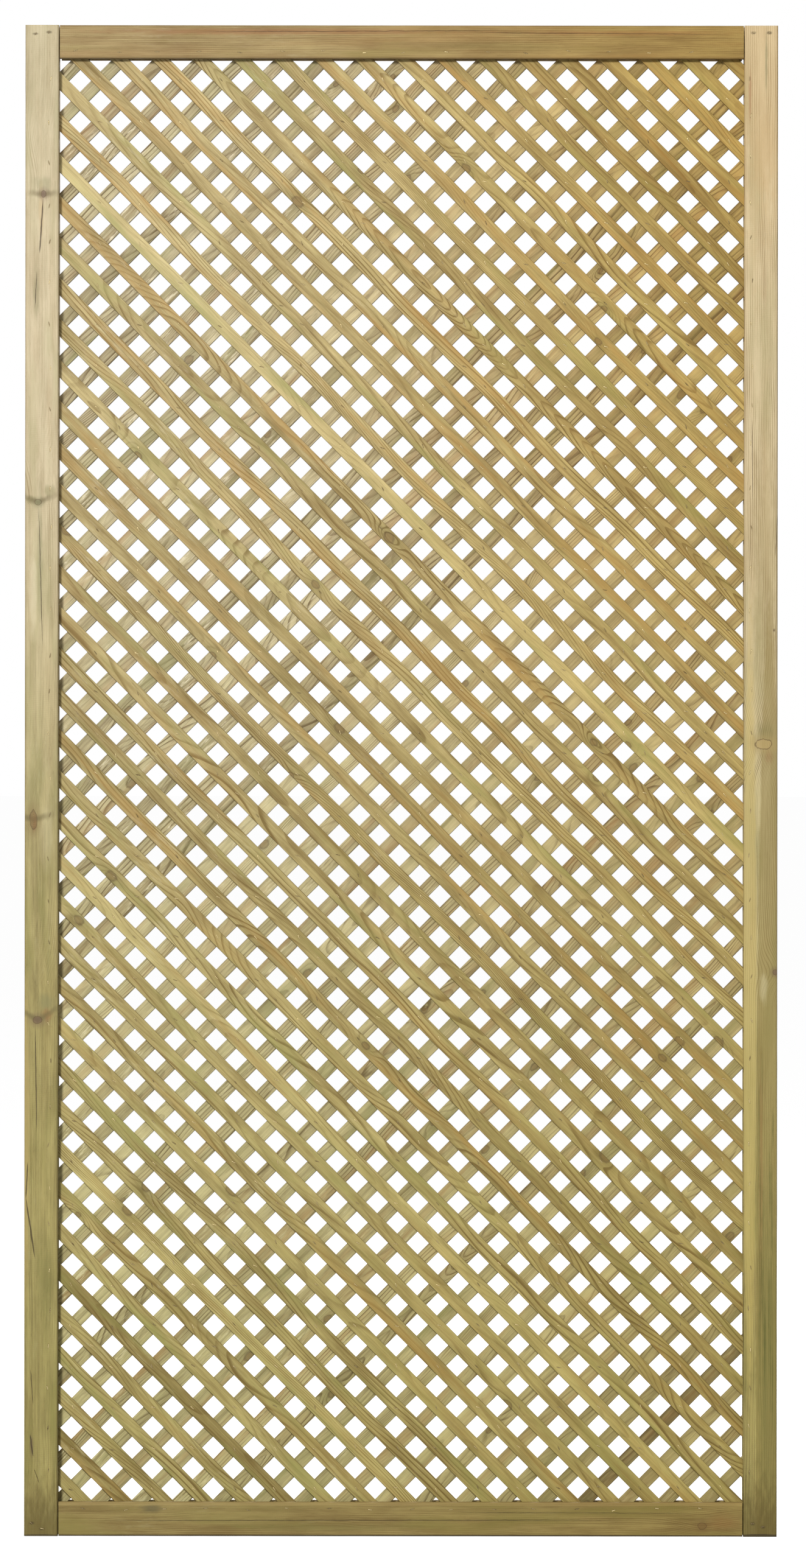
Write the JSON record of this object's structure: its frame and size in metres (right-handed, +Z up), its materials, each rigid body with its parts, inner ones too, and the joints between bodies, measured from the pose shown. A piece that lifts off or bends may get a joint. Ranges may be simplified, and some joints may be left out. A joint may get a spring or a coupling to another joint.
{
  "type": "garden trellis panel",
  "caption": "Tall framed trellis panel of crossed diagonal wooden laths with diamond gaps, for climbing plants or screening between posts.",
  "frame": {"origin": "under the middle of the panel, level with its bottom edge", "axes": "+Z up along the height, +X to the right seen from the front, the front faces -Y"},
  "size_m": [0.912, 0.038, 1.83],
  "materials": {
    "stile_wood": "sawn and planed softwood, greenish preservative tint, matt",
    "rail_wood": "planed softwood, greenish brown preservative tint, matt",
    "lath_wood": "thin sawn softwood, yellow green to light brown, matt",
    "staple_wire": "thin coated steel staple, dull gold"
  },
  "bodies": {
    "root": {"front_left_stile": "stile_wood", "front_right_stile": "stile_wood", "front_top_rail": "rail_wood", "front_bottom_rail": "rail_wood", "back_left_stile": "stile_wood", "back_right_stile": "stile_wood", "back_top_rail": "rail_wood", "back_bottom_rail": "rail_wood", "crossed_laths_01": "lath_wood", "crossed_laths_02": "lath_wood", "crossed_laths_03": "lath_wood", "crossed_laths_04": "lath_wood", "crossed_laths_05": "lath_wood", "crossed_laths_06": "lath_wood", "crossed_laths_07": "lath_wood", "crossed_laths_08": "lath_wood", "crossed_laths_09": "lath_wood", "crossed_laths_10": "lath_wood", "crossed_laths_11": "lath_wood", "crossed_laths_12": "lath_wood", "crossed_laths_13": "lath_wood", "crossed_laths_14": "lath_wood", "crossed_laths_15": "lath_wood", "crossed_laths_16": "lath_wood", "crossed_laths_17": "lath_wood", "crossed_laths_18": "lath_wood", "crossed_laths_19": "lath_wood", "crossed_laths_20": "lath_wood", "crossed_laths_21": "lath_wood", "crossed_laths_22": "lath_wood", "crossed_laths_23": "lath_wood", "crossed_laths_24": "lath_wood", "crossed_laths_25": "lath_wood", "crossed_laths_26": "lath_wood", "crossed_laths_27": "lath_wood", "crossed_laths_28": "lath_wood", "crossed_laths_29": "lath_wood", "crossed_laths_30": "lath_wood", "crossed_laths_31": "lath_wood", "crossed_laths_32": "lath_wood", "crossed_laths_33": "lath_wood", "crossed_laths_34": "lath_wood", "crossed_laths_35": "lath_wood", "crossed_laths_36": "lath_wood", "crossed_laths_37": "lath_wood", "crossed_laths_38": "lath_wood", "crossed_laths_39": "lath_wood", "crossed_laths_40": "lath_wood", "crossed_laths_41": "lath_wood", "crossed_laths_42": "lath_wood", "crossed_laths_43": "lath_wood", "crossed_laths_44": "lath_wood", "crossed_laths_45": "lath_wood", "crossed_laths_46": "lath_wood", "crossed_laths_47": "lath_wood", "crossed_laths_48": "lath_wood", "crossed_laths_49": "lath_wood", "crossed_laths_50": "lath_wood", "crossed_laths_51": "lath_wood", "crossed_laths_52": "lath_wood"}
  },
  "joints": []
}
